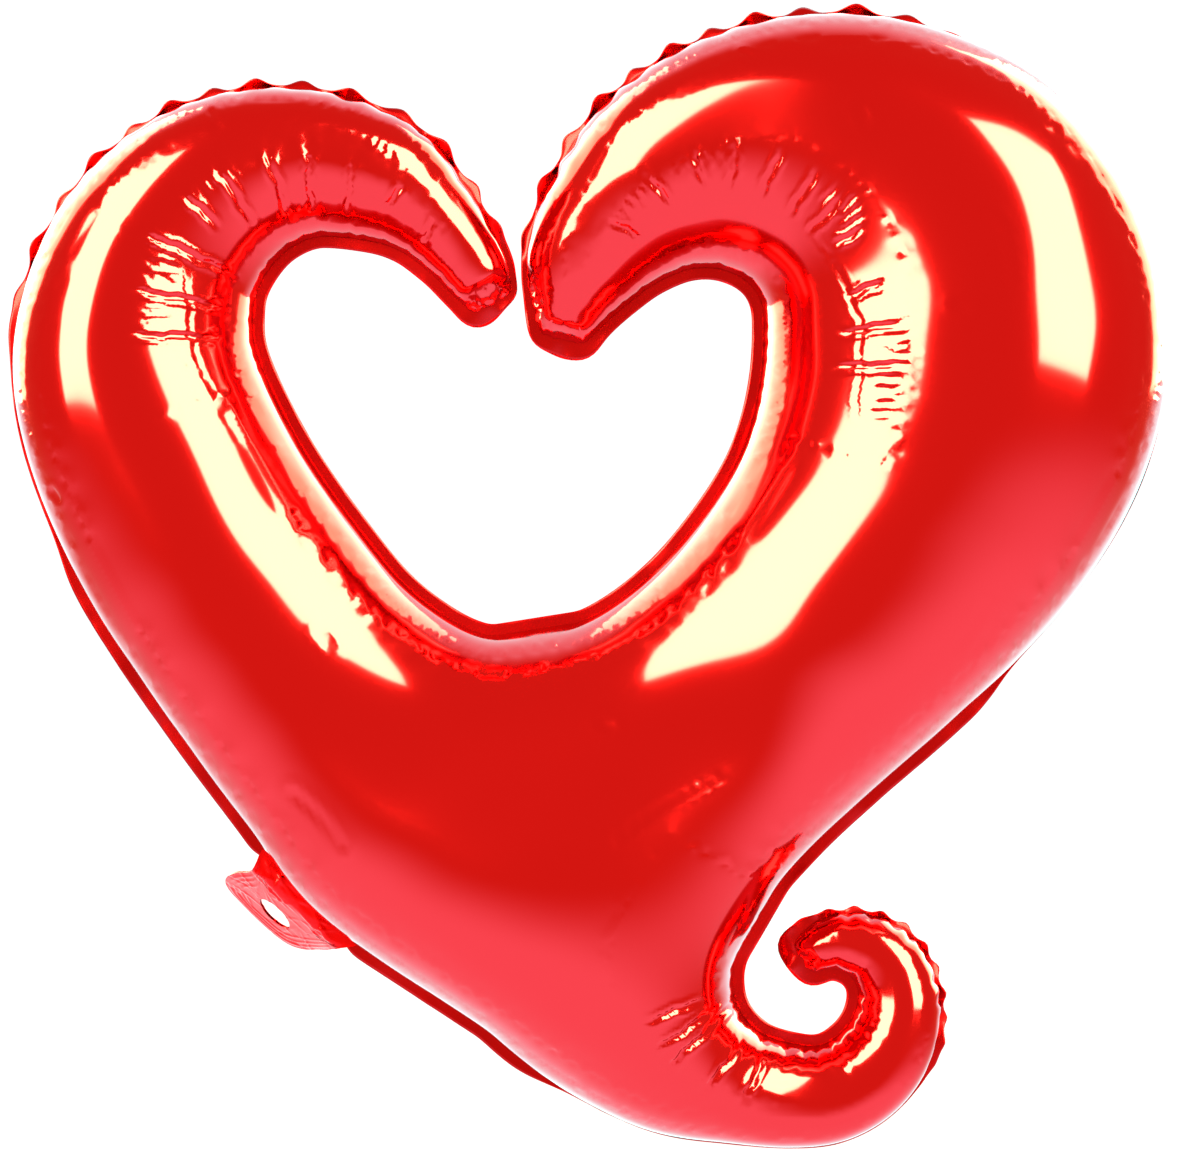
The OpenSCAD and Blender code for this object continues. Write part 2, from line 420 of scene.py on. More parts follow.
# Nicks and dents away from the seam, as start, end, width and depth in millimetres.
MARKS = [
    ((118, 30), (154, 52), 0.9, 0.55), ((244, 242), (250, 217), 0.8, 0.4), ((11, 46), (28, 28), 1.6, 0.5),
    ((235, 93), (244, 109), 0.9, 0.4), ((201, 276), (203, 270), 1.2, 0.8), ((163, 296), (166, 293), 1.1, 0.5),
    ((265, 270), (268, 268), 1.2, 0.5), ((-18, 277), (-16, 271), 1.4, 0.5), ((-72, 148), (-70, 145), 1.2, 0.5),
    ((114, 70), (118, 68), 1.1, 0.5), ((232, 209), (236, 207), 1.2, 0.4), ((20, 100), (24, 95), 1.3, 0.35),
]


# The long single creases over the inner side of the bends, each from its outer to its inner end.
LONG_CREASES = [
    ((-46.0, 237.7), (-9.8, 221.1)), ((-45.0, 215.2), (-14.3, 210.8)), ((-44.0, 199.7), (-15.3, 200.1)),
    ((-30.2, 251.5), (-14.6, 237.0)), ((-17.0, 260.8), (-3.9, 239.0)), ((0.2, 267.3), (7.8, 241.5)),
    ((15.4, 270.8), (15.4, 243.5)), ((31.6, 266.3), (27.5, 243.5)), ((48.5, 255.3), (41.3, 244.6)),
    ((57.1, 240.8), (53.7, 233.9)), ((117.8, 239.4), (128.2, 233.9)), ((128.5, 255.6), (139.2, 243.9)),
    ((145.8, 263.9), (149.6, 248.7)), ((160.3, 265.9), (158.2, 247.7)), ((175.1, 262.2), (168.6, 245.9)),
    ((187.2, 254.9), (178.2, 240.1)), ((194.1, 243.9), (184.8, 234.2)), ((201.3, 235.2), (193.4, 229.7)),
    ((209.3, 217.0), (197.9, 212.8)), ((214.4, 202.5), (194.1, 200.4)), ((216.5, 189.0), (192.4, 189.0)),
    ((133.4, -49.7), (161.0, -25.6)), ((131.0, -41.1), (154.1, -27.3)), ((145.4, -60.1), (164.4, -39.4)),
    ((161.0, -65.2), (171.3, -44.6)), ((128.2, -30.8), (148.9, -23.8)),
]
# Groups of short creases: first and last place of the group's middle, and the creases' way, length and number.
FINE_GROUPS = [
    ((-36.5, 233.5), (-34.0, 217.0), (1, -0.25), 11, 7), ((-34.5, 211.0), (-34.5, 201.5), (1, -0.1), 10, 5),
    ((-20.5, 249.0), (-10.5, 257.0), (0.62, -0.78), 9, 4), ((2.0, 265.5), (14.0, 268.0), (0.3, -0.95), 7, 5),
    ((30.0, 268.0), (44.0, 262.0), (-0.2, -0.98), 6, 5), ((55.0, 241.0), (62.0, 236.0), (-0.4, -0.9), 5, 3),
    ((122.0, 241.0), (134.0, 252.0), (0.6, -0.75), 7, 5), ((139.0, 257.0), (160.0, 262.0), (0.1, -1), 5, 5),
    ((190.0, 249.0), (201.0, 236.0), (-0.7, -0.7), 8, 5), ((211.0, 205.0), (212.5, 191.0), (-1, 0.1), 11, 7),
    ((211.5, 186.0), (209.5, 172.0), (-1, 0), 7, 5), ((-29.0, 196.0), (-22.0, 178.0), (1, -0.3), 6, 6),
]
# The fold that runs along the hole, a third of the way up the tube.
SEAM_FOLDS = [
    ((-27.0, 229.0), (-24.5, 212.0), (-24.0, 200.0), (-20.0, 187.0), (-14.0, 176.0), (-6.0, 165.0)),
    ((185.0, 235.5), (193.0, 224.0), (198.0, 212.5), (201.5, 203.0), (201.5, 188.0), (200.0, 172.0)),
]


def strokes():
    """All single creases, as start, end, width and depth."""
    rng = np.random.default_rng(67)
    out = [(a, b, 0.75, 1.1, 0) for a, b in LONG_CREASES]
    for a, b, way, length, count in FINE_GROUPS:
        a, b, way = np.array(a), np.array(b), np.array(way, float)
        way /= np.linalg.norm(way)
        for k in range(count):
            at = a + (b - a) * (k + rng.uniform(0.2, 0.8)) / count + way * rng.uniform(-2, 2)
            half = way * length * rng.uniform(0.35, 0.6)
            out.append((tuple(at - half), tuple(at + half), 0.6, rng.uniform(0.3, 0.6), 0))
    for line in SEAM_FOLDS:
        for a, b in zip(line[:-1], line[1:]):
            out.append((a, b, 0.6, 0.22, 1))
    return out


def crumple(p, rows, marks, spare):
    """Presses the creases and marks into the film. Returns how far each point moves inwards."""
    flat = p[:, [0, 2]]
    rise = np.abs(p[:, 1] - SEAM_Y)
    push = np.zeros(len(p))
    for x, z, wx, wz, start, end, wide0, wide1, deep, lip in rows:
        q = flat - (x, z)
        d = q[:, 0] * wx + q[:, 1] * wz
        side = np.abs(q[:, 0] * wz - q[:, 1] * wx)
        near = np.flatnonzero((side < 8) & (d > -2.5) & (d < end + 2))
        reach = np.hypot(np.maximum(d[near], 0), rise[near])
        run = (reach - start) / (end - start)
        in_run = (run > 0) & (run < 1)
        near, run = near[in_run], run[in_run]
        wide = wide0 + (wide1 - wide0) * run
        t = side[near] / wide
        fade = np.minimum(1, run * 5) * (1 - run) ** 0.8 if start > 0 else (1 - run) ** 1.3
        shape = np.exp(-(t**1.35)) - lip * np.exp(-((t - 2.2) ** 2))
        push[near] = push[near] + deep * fade * shape
    for (x0, z0), (x1, z1), wide, deep, joined in strokes():
        a, b = np.array([x0, z0], float), np.array([x1, z1], float)
        long = np.linalg.norm(b - a)
        way = (b - a) / long
        near = np.flatnonzero(((flat - (a + b) / 2) ** 2).sum(1) < (long / 2 + 4) ** 2)
        q = flat[near] - a
        d = q @ way
        off = q @ np.array([-way[1], way[0]])
        wobble = 0.35 * np.sin(d / 2.1 + x0) + 0.2 * np.sin(d / 0.9 + z0)
        run = np.clip(d / long, 0, 1)
        fade = 1.0 if joined else np.clip(4 * run, 0, 1) * np.clip(4 * (1 - run), 0, 1) ** 0.7
        gap = np.hypot(off - wobble, d - run * long) / wide
        push[near] += deep * fade * (np.exp(-(gap**1.4)) - 0.45 * np.exp(-((gap - 2.3) ** 2)))
    for (x0, z0), (x1, z1), wide, deep in marks:
        a, b = np.array([x0, z0], float), np.array([x1, z1], float)
        way = (b - a) / np.linalg.norm(b - a)
        q = flat - a
        d = q @ way
        run = np.clip(d / np.linalg.norm(b - a), 0, 1)
        bow = 2.0 * np.sin(math.pi * run) * np.linalg.norm(b - a) / 40
        off = np.hypot(q @ np.array([-way[1], way[0]]) - bow, d - run * np.linalg.norm(b - a))
        push += deep * (np.exp(-((off / wide) ** 2)) - 0.4 * np.exp(-((off / wide - 1.8) ** 2)))
    return np.minimum(push, spare)


def slow_waves(p, scale):
    """The gentle unevenness of blown-out film, from a few long waves."""
    x, y, z = p[:, 0], p[:, 1], p[:, 2]
    out = np.zeros(len(p))
    rng = np.random.default_rng(41)
    for k in range(14):
        way = rng.normal(size=3)
        way /= np.linalg.norm(way)
        length = rng.uniform(24, 75)
        phase = rng.uniform(0, 2 * math.pi)
        out += length / 75 * np.sin(2 * math.pi * (x * way[0] + y * way[1] + z * way[2]) / length + phase)
    return out * scale


# For each tube: its rows and the side of travel that is its outer one.
BENDS = ((LEFT_ARM, -1), (RIGHT_ARM, 1), (TAIL, -1))
OUTWARD = 0.2
BODY_AT = (200, 92)
BODY_REACH = (52, 126)


def rounded_tubes(v, dist):
    """Squared depth of round tubes whose crest is drawn outwards."""
    best = np.full(len(v), -1e9)
    skew = np.zeros(len(v))
    size = np.ones(len(v))
    for rows, outer in BENDS:
        r = smooth_rows(rows, 10)
        c = r[:, :2] - NECK + NECK_AT
        t = np.gradient(c, axis=0)
        t /= np.linalg.norm(t, axis=1)[:, None]
        n = np.c_[-t[:, 1], t[:, 0]] * outer
        for a in range(0, len(v), 6000):
            p = v[a : a + 6000]
            e = r[None, :, 2] ** 2 - ((p[:, None] - c[None]) ** 2).sum(2)
            m = np.clip(e.argmax(1), 1, len(r) - 2)
            k = np.arange(len(p))
            # The best ball lies between two rows, at the top of a parabola.
            bow, lean = (e[k, m + 1] + e[k, m - 1]) / 2 - e[k, m], (e[k, m + 1] - e[k, m - 1]) / 2
            off = np.clip(-lean / (2 * np.minimum(bow, -1e-6)), -1, 1)
            top = e[k, m] + lean * off + bow * off * off
            win = top > best[a : a + 6000]
            i, m, off = np.flatnonzero(win) + a, m[win], off[win][:, None]
            at = c[m] + off * (c[m + 1] - c[m - 1]) / 2
            way = n[m] + off * (n[m + 1] - n[m - 1]) / 2
            best[i] = top[win]
            size[i] = r[m, 2]
            skew[i] = ((v[i] - at) * way).sum(1) / r[m, 2]
    best = np.minimum(best, 2.5 * size * dist)
    # The film evens out the step from a thick tube to a thin one.
    even = (np.clip(size, 32, 80) / 52) ** -0.6
    return np.maximum(best, 0) * (1 + OUTWARD * np.clip(skew, -1, 1)) * even


def tube_share(v):
    """1 along the arms and the tail, and 0 where they meet in the body."""
    far = np.linalg.norm(v - in_frame(*BODY_AT), axis=1)
    k = np.clip((far - BODY_REACH[0]) / (BODY_REACH[1] - BODY_REACH[0]), 0, 1)
    return k * k * (3 - 2 * k)


def eased(values, f, hold, rounds):
    """Values of a mesh's points, drawn towards the mean of their neighbours where hold is 0."""
    pairs = np.concatenate([f[:, [0, 1]], f[:, [1, 2]], f[:, [2, 0]]])
    pairs = np.concatenate([pairs, pairs[:, ::-1]])
    count = np.bincount(pairs[:, 0], minlength=len(values))
    for _ in range(rounds):
        mean = np.bincount(pairs[:, 0], values[pairs[:, 1]], len(values)) / np.maximum(count, 1)
        values = values + (1 - hold) * 0.6 * (mean - values)
    return values


# The welded-flat ends of the two arms: a point, and the way out of the arm.
TIPS = (((73.0, 214.0), (0.49, -0.87)), ((101.5, 200.5), (-0.24, -0.97)), ((179.5, -12.0), (-0.2, -1.0)))


def flattened(v):
    """1 in the flat ends beyond each arm's tip, and 0 in the tube."""
    w = np.zeros(len(v))
    for (at, way), reach in zip(TIPS, (9.0, 9.0, 4.0)):
        q = v - at
        along = q @ way / np.linalg.norm(way)
        near = (q**2).sum(1) < (reach * 2.3) ** 2
        run = np.clip((along + reach * 0.75) / reach, 0, 1)
        w = np.maximum(w, near * run * run * (3 - 2 * run))
    return w


def panel_depth(v, f, u):
    """Depth of the blown film from the seam plane."""
    dist, _ = distances(v)
    share = tube_share(v)
    # The body's crest lies low, away from the hole, as the arms' crests do.
    low = 1 + 0.36 * np.clip((in_frame(*BODY_AT)[1] + 14 - v[:, 1]) / 60, -1, 1)
    deep2 = u * low * (1 - share) + rounded_tubes(v, dist) * share
    deep2 = eased(deep2, f, np.exp(-np.maximum(dist - 5, 0) / 3), 14)
    return np.sqrt(np.maximum(deep2, 0)) * (1 - 0.82 * flattened(v))


SEAM_ROWS = (0.15, 0.6, 1.3, 2.3, 3.6, 5.2)
WALL = 2.4


def fine_stretches():
    w = np.zeros(outline.count)
    for stretch in (INNER_LEFT, INNER_RIGHT, CURL_INNER):
        w = np.maximum(w, outline.between(*stretch))
    return soften(w, 3.0)


def rim_order(v, rim):
    """The rim's points in the order of the outline."""
    index = np.flatnonzero(rim)
    near = np.array([outline.nearest(*v[i]) for i in index])
    out = np.empty(outline.count, int)
    out[near] = index
    return out


_film = {}


def film_shapes():
    """The fine outer skin and the coarse inner skin of the front panel, before creasing."""
    if not _film:
        fine = fine_stretches()
        v, f = flat_mesh(1.15, (14, 46), SEAM_ROWS, fine)
        u, rim = solve_inflation(v, f)
        w, g = flat_mesh(5.0, (0, 0), (0.6, 2.3, 5.2), fine * 0)
        k, rim_in = solve_inflation(w, g)
        deep, deep_in = panel_depth(v, f, u), panel_depth(w, g, k)
        deep[rim], deep_in[rim_in] = 0, 0
        _film.update(outer=(v, f, deep, rim), inner=(w, g, deep_in, rim_in))
    return _film


def neck_weight():
    """1 along the seam where the tab leaves it, and 0 away from there."""
    rel = outline.p - FOLD_AT
    across, out = rel @ AXIS, rel @ TAB_WAY
    hit = (across > -27) & (across < 19) & (out > -16)
    return soften(hit.astype(float), 2.5)


def pucker_phase(pitch):
    """Where each sample of the seam is in the row of puckers, which isn't quite even."""
    s = np.arange(outline.count) * outline.STEP
    return math.pi * s / pitch + 0.5 * np.sin(s / 23.0)


def seam_wave():
    """How far the seam weaves out of its plane."""
    rng = np.random.default_rng(7)
    wave = np.zeros(outline.count)
    for stretch, pitch, high in (
        (OUTER_LEFT, LOBE_PITCH, 0.7), (OUTER_RIGHT, LOBE_PITCH, 0.7), (CURL_OUTER, CURL_PITCH, 0.5),
    ):
        wave += soften(outline.between(*stretch), 8.0) * high * np.sin(pucker_phase(pitch))
    wave += soften(rng.normal(size=outline.count), 4.0) * 0.5
    return wave * (1 - neck_weight())


def settle_ends(v, side):
    """The crumpling of the flat ends."""
    x, z = v[:, 0], v[:, 1]
    fold = np.sin(x * 0.9 + z * 0.5 + side) + 0.8 * np.sin(z * 1.3 - x * 0.4) + 0.5 * np.sin(x * 1.9 + z * 0.3)
    return 0.5 * np.abs(fold) - 0.4


def panel_mesh(name, side):
    """One panel: a closed skin, with side -1 in front of the seam and 1 behind it."""
    shapes = film_shapes()
    v, f, y, rim = shapes["outer"]
    w, g, y_in, rim_in = shapes["inner"]
    p = np.c_[v[:, 0], SEAM_Y + side * y, v[:, 1]]
    # A triangle that is anticlockwise in x and z faces -Y, so the back one is turned.
    faces = f[:, ::-1] if side > 0 else f
    n = vertex_normals(p, faces)
    dist, near = distances(v)
    rise = np.hypot(dist, y)
    spare = np.where(rim, 0, (WALL - 0.5) * (1 - np.exp(-rise / 6.0)))
    rows = crease_rows(np.random.default_rng(3 if side < 0 else 5))
    push = crumple(p, rows, MARKS if side < 0 else MARKS[::3], spare)
    settle = 1 - np.exp(-rise / 12.0)
    push += slow_waves(p, 0.09) * settle
    push += flattened(v) * settle_ends(v, side)
    p -= n * push[:, None]
    wave = seam_wave()
    p[:, 1] += wave[near] * np.exp(-((rise / 9.0) ** 2))

    q = np.c_[w[:, 0], SEAM_Y + side * y_in, w[:, 1]]
    inner_faces = g if side > 0 else g[:, ::-1]
    m = vertex_normals(q, inner_faces)
    dist_in, near_in = distances(w)
    rise_in = np.hypot(dist_in, y_in)
    q += m * (WALL * (1 - np.exp(-rise_in / 5.0)))[:, None]
    q[:, 1] += wave[near_in] * np.exp(-((rise_in / 9.0) ** 2))
    ring, ring_in = rim_order(v, rim), rim_order(w, rim_in)
    index = np.arange(len(q)) + len(p)
    index[ring_in] = ring
    points = np.vstack([p, q])
    tris = np.vstack([faces, index[inner_faces]])
    used = np.unique(tris)
    place = -np.ones(len(points), int)
    place[used] = np.arange(len(used))
    return make_object(name, points[used], place[tris])


def make_object(name, points, faces):
    mesh = bpy.data.meshes.new(name)
    points = np.asarray(points, float) * MM
    faces = np.asarray(faces)
    mesh.vertices.add(len(points))
    mesh.vertices.foreach_set("co", points.ravel())
    size = faces.shape[1]
    mesh.loops.add(faces.size)
    mesh.loops.foreach_set("vertex_index", faces.ravel().astype(np.int32))
    mesh.polygons.add(len(faces))
    mesh.polygons.foreach_set("loop_start", (np.arange(len(faces)) * size).astype(np.int32))
    mesh.polygons.foreach_set("use_smooth", np.ones(len(faces), bool))
    mesh.update(calc_edges=True)
    mesh.validate()
    obj = bpy.data.objects.new(name, mesh)
    bpy.context.scene.collection.objects.link(obj)
    return obj


# Materials


def new_material(name):
    mat = bpy.data.materials.new(name)
    mat.use_nodes = True
    nt = mat.node_tree
    return mat, nt, nt.nodes["Principled BSDF"]


def node(nt, kind, x, y, **values):
    n = nt.nodes.new(kind)
    n.location = (x, y)
    for k, v in values.items():
        if k in n.inputs:
            n.inputs[k].default_value = v
        else:
            setattr(n, k, v)
    return n


def remap(nt, x, y, value, source=(0.0, 1.0), target=(0.0, 1.0), curve="LINEAR"):
    """The value, carried from the source range to the target range."""
    n = node(nt, "ShaderNodeMapRange", x, y, interpolation_type=curve)
    for name, at in zip(("From Min", "From Max", "To Min", "To Max"), (*source, *target)):
        n.inputs[name].default_value = at
    nt.links.new(value, n.inputs["Value"])
    return n.outputs["Result"]


def foil_material(name, colour, roughness, fine_bump):
    """Metallised film: a clear coat over a tinted mirror, with fine crinkles and faint handling marks."""
    mat, nt, shader = new_material(name)
    link = nt.links.new
    coord = node(nt, "ShaderNodeTexCoord", -1500, 0)
    # Fine crinkle of the film, a few millimetres across.
    crinkle = node(nt, "ShaderNodeTexNoise", -1100, -250, Scale=95.0, Detail=3.0, Roughness=0.55)
    link(coord.outputs["Object"], crinkle.inputs["Vector"])
    # Broad hand marks, which only dull the mirror.
    hazy = node(nt, "ShaderNodeTexNoise", -1100, 50, Scale=24.0, Detail=2.0, Roughness=0.5)
    link(coord.outputs["Object"], hazy.inputs["Vector"])
    # Hair scratches, from a strongly stretched noise.
    turn = node(nt, "ShaderNodeMapping", -1300, -560)
    turn.inputs["Rotation"].default_value = (0.4, 0.9, 0.3)
    turn.inputs["Scale"].default_value = (26.0, 26.0, 900.0)
    link(coord.outputs["Object"], turn.inputs["Vector"])
    hair = node(nt, "ShaderNodeTexNoise", -1100, -560, Scale=1.0, Detail=1.0)
    link(turn.outputs["Vector"], hair.inputs["Vector"])
    rough = remap(nt, -600, 80, hazy.outputs["Fac"], (0.35, 0.7), (roughness * 0.85, roughness * 1.35))
    link(rough, shader.inputs["Roughness"])
    # The dye is a little denser in places.
    ramp = node(nt, "ShaderNodeValToRGB", -600, 380)
    ramp.color_ramp.elements[0].position = 0.3
    ramp.color_ramp.elements[0].color = (*[c * 0.93 for c in colour], 1)
    ramp.color_ramp.elements[1].position = 0.7
    ramp.color_ramp.elements[1].color = (*colour, 1)
    link(hazy.outputs["Fac"], ramp.inputs["Fac"])
    link(ramp.outputs["Color"], shader.inputs["Base Color"])
    first = node(nt, "ShaderNodeBump", -450, -280, Strength=fine_bump, Distance=0.0005)
    link(crinkle.outputs["Fac"], first.inputs["Height"])
    second = node(nt, "ShaderNodeBump", -250, -420, Strength=fine_bump * 0.6, Distance=0.00005)
    link(hair.outputs["Fac"], second.inputs["Height"])
    link(first.outputs["Normal"], second.inputs["Normal"])
    link(second.outputs["Normal"], shader.inputs["Normal"])
    shader.inputs["Metallic"].default_value = 1.0
    shader.inputs["Coat Weight"].default_value = 0.14
    shader.inputs["Coat Roughness"].default_value = 0.09
    shader.inputs["Coat IOR"].default_value = 1.5
    mat.diffuse_color = (*colour, 1)
    return mat


def valve_material(name, colour):
    """Milky polyethylene film, partly clear, with a fine cloudy roughness and bump."""
    mat, nt, shader = new_material(name)
    link = nt.links.new
    coord = node(nt, "ShaderNodeTexCoord", -900, 0)
    cloud = node(nt, "ShaderNodeTexNoise", -700, 0, Scale=120.0, Detail=3.0)
    link(coord.outputs["Object"], cloud.inputs["Vector"])
    rough = remap(nt, -450, 0, cloud.outputs["Fac"], target=(0.18, 0.42))
    link(rough, shader.inputs["Roughness"])
    bump = node(nt, "ShaderNodeBump", -250, -250, Strength=0.5, Distance=0.0004)
    link(cloud.outputs["Fac"], bump.inputs["Height"])
    link(bump.outputs["Normal"], shader.inputs["Normal"])
    shader.inputs["Base Color"].default_value = (*colour, 1)
    shader.inputs["Transmission Weight"].default_value = 0.6
    shader.inputs["IOR"].default_value = 1.3
    return mat


def look(kind):
    """The material of this kind, made once."""
    found = bpy.data.materials.get(kind)
    if found:
        return found
    film = bpy.context.scene.balloon_film
    colour = tuple(film.foil_colour)
    back = tuple(c * 0.95 for c in colour)
    made = {
        "front_foil": lambda: foil_material("front_foil", colour, film.roughness, 0.10),
        "back_foil": lambda: foil_material("back_foil", back, film.roughness, 0.10),
        "margin_foil": lambda: foil_material("margin_foil", tuple(c * 0.72 for c in colour), 0.22, 0.25),
        "tab_foil": lambda: foil_material("tab_foil", tuple(film.tab_colour), 0.24, 0.35),
        "valve_film": lambda: valve_material("valve_film", (0.93, 0.92, 0.94)),
    }
    return made[kind]()


# The weld margin

MARGIN_REACH, NECK_REACH = 4.0, 1.8
MARGIN_THICK = 0.26


def margin_mesh(name):
    """The flat welded border: a thin closed ribbon along the whole outline, puckered where the seam is."""
    rng = np.random.default_rng(19)
    count = outline.count
    wave = seam_wave()
    reach = np.full(count, MARGIN_REACH)
    for stretch, low in ((HIDDEN_RIGHT, 0.5), (HIDDEN_LEFT, 1.4), (HIDDEN_FOOT, 0.7), (OUTER_LEFT, 1.2),
                         (OUTER_RIGHT, 1.2), (CURL_OUTER, 1.0)):
        w = soften(outline.between(*stretch), 6.0)
        reach = reach * (1 - w) + low * w
    weave = soften(rng.normal(size=count), 6.0)
    for stretch, pitch, high, grow in (
        (OUTER_LEFT, LOBE_PITCH, 2.2, 2.4), (OUTER_RIGHT, LOBE_PITCH, 2.4, 2.7),
        (CURL_OUTER, CURL_PITCH, 1.2, 1.5),
    ):
        w = soften(outline.between(*stretch), 8.0)
        phase = pucker_phase(pitch)
        weave += w * high * np.sin(phase)
        reach += w * grow * np.abs(np.sin(phase)) ** 3
    weave += soften(rng.normal(size=count), 2.0) * 0.35
    # The ends of the arms and the tail are welded flat a little further out.
    for tip, far in (((77, 206), 3.5), ((102, 193), 4.5), ((182, -14), 2.0)):
        gap = np.linalg.norm(outline.p - np.array(tip, float), axis=1)
        near = np.exp(-((gap / 9.0) ** 2))
        reach += far * near
        weave += near * soften(rng.normal(size=count), 1.6) * 3.0
    out = np.array([-1.6, -0.4, 0.9, 2.2, 3.3, 4.3]) / 4.3
    neck = neck_weight()
    reach = reach * (1 - neck**2) + NECK_REACH * neck**2
    weave *= 1 - neck
    # The cleft leaves the two arms' margins little room, so they fold flat there.
    cleft = np.exp(-((np.linalg.norm((outline.p - (86.0, 222.0)) / (9, 17), axis=1)) ** 2))
    reach = reach * (1 - 0.55 * cleft)
    cols = []
    for o in out:
        lift = np.sign(o) * np.abs(o) ** 1.3
        x = outline.p - outline.n * (o * reach)[:, None]
        y = SEAM_Y + wave * np.clip(1 - 0.2 * o, 0, 1) + weave * max(lift, 0)
        cols.append(np.c_[x[:, 0], y, x[:, 1]])
    p = np.stack(cols, axis=1)
    n = len(out)
    front, back = p.copy(), p.copy()
    front[:, :, 1] -= MARGIN_THICK / 2
    back[:, :, 1] += MARGIN_THICK / 2
    points = np.concatenate([front, back[:, ::-1]], axis=1).reshape(-1, 3)
    ring = 2 * n
    i, k = np.mgrid[0:count, 0:ring]
    i, k = i.ravel(), k.ravel()
    a, b = i * ring + k, i * ring + (k + 1) % ring
    c, d = ((i + 1) % count) * ring + (k + 1) % ring, ((i + 1) % count) * ring + k
    return make_object(name, points, np.c_[a, b, c, d])


# The filling tab

TAB_REST = math.acos(-MOUNT_AXIS[1])
TAB_EDGE = [
    (18.3, -4.4), (17.1, -1.6), (16.2, 1.8), (16.3, 5.5), (17.6, 10), (20.0, 16), (21.2, 23), (20.2, 30),
    (16.5, 35.2), (10.5, 37.6), (2, 38.0), (-6, 36.8), (-12, 33.3), (-16.5, 27), (-19.5, 19), (-21.8, 11),
    (-22.9, 5), (-24.3, 0.4), (-27.2, -3.2),
]
HOLE_AT, HOLE_R = np.array([0.0, 20.0]), 7.0
FOLD_R = 1.4


def tab_loop():
    """The tab's edge in its own flat axes, across and out from the fold, with its root inside the seam."""
    rel = outline.p - FOLD_AT
    across, out = rel @ AXIS, rel @ TAB_WAY
    near = np.flatnonzero((out > -25) & (np.abs(across) < 36))
    near = near[np.argsort(across[near])]
    u = np.linspace(-29.0, 18.6, 26)
    root = np.c_[u, np.interp(u, across[near], out[near]) - 1.2]
    side = smooth_rows([(x, y, 0) for x, y in TAB_EDGE], 4)[:, :2]
    return np.vstack([root, side])


def bent(u, d, lift):
    """Places flat tab points in the frame, bent round the fold and lifted off the middle of the film."""
    way = np.array([TAB_WAY[0], 0, TAB_WAY[1]])
    back = np.array([0, 1.0, 0])
    across = np.array([AXIS[0], 0, AXIS[1]])
    s = np.clip((d + FOLD_R) / (2 * FOLD_R), 0, 1)
    co, si = math.cos(TAB_REST), math.sin(TAB_REST)
    # A curve from one straight part to the other, with its corner at the fold.
    along = np.where(d <= -FOLD_R, d, np.where(d >= FOLD_R, d * co, FOLD_R * (-((1 - s) ** 2) + s * s * co)))
    rear = np.where(d <= -FOLD_R, 0, np.where(d >= FOLD_R, d * si, FOLD_R * s * s * si))
    t_way, t_back = (1 - s) + s * co, s * si
    size = np.hypot(t_way, t_back)
    normal = (t_back / size)[:, None] * way - (t_way / size)[:, None] * back
    fold = np.array([FOLD_AT[0], SEAM_Y, FOLD_AT[1]])
    return fold + u[:, None] * across + along[:, None] * way + rear[:, None] * back + lift[:, None] * normal


def tab_relief(u, d, edge, side):
    """Height of the tab's film: weld lines along its edge, crumples at the neck and a curl."""
    h = np.zeros(len(u))
    for at in (2.0, 4.2, 6.8):
        h += 0.22 * np.exp(-(((edge - at) / 0.5) ** 2)) * np.clip((d - 2) / 6, 0, 1)
    rng = np.random.default_rng(23)
    for _ in range(26):
        u0, d0 = rng.uniform(-20, 14), rng.uniform(-4.5, 5)
        turn = rng.normal(0.0, 0.35)
        a, b = u - u0, d - d0
        along, off = a * math.cos(turn) + b * math.sin(turn), b * math.cos(turn) - a * math.sin(turn)
        h += rng.uniform(0.2, 0.65) * np.exp(-((along / rng.uniform(2.5, 7)) ** 2) - (off / rng.uniform(0.5, 0.9)) ** 2)
    for _ in range(18):
        u0, d0 = rng.uniform(-17, 17), rng.uniform(7, 32)
        turn = rng.uniform(0, math.pi)
        a, b = u - u0, d - d0
        along, off = a * math.cos(turn) + b * math.sin(turn), b * math.cos(turn) - a * math.sin(turn)
        h += rng.choice((-1, 1)) * 0.16 * np.exp(-((along / 6) ** 2) - (off / 0.7) ** 2)
    out = np.clip((d - 6) / 14, 0, 1)
    curl = out * (1.4 * np.clip((u - 9) / 12, 0, 1) ** 2 - 1.1 * np.clip((-u - 9) / 11, 0, 1) ** 2)
    # Over the valve's mouth each film stands off to its own side.
    mouth = (np.abs(u) < 13.5) & (d > -1.5) & (d < 20)
    h = np.where(mouth, side * np.abs(h) * 0.8 + side * 0.12, h)
    root = np.clip((d + 6.5) / 2.5, 0, 1)
    return (h + curl) * root


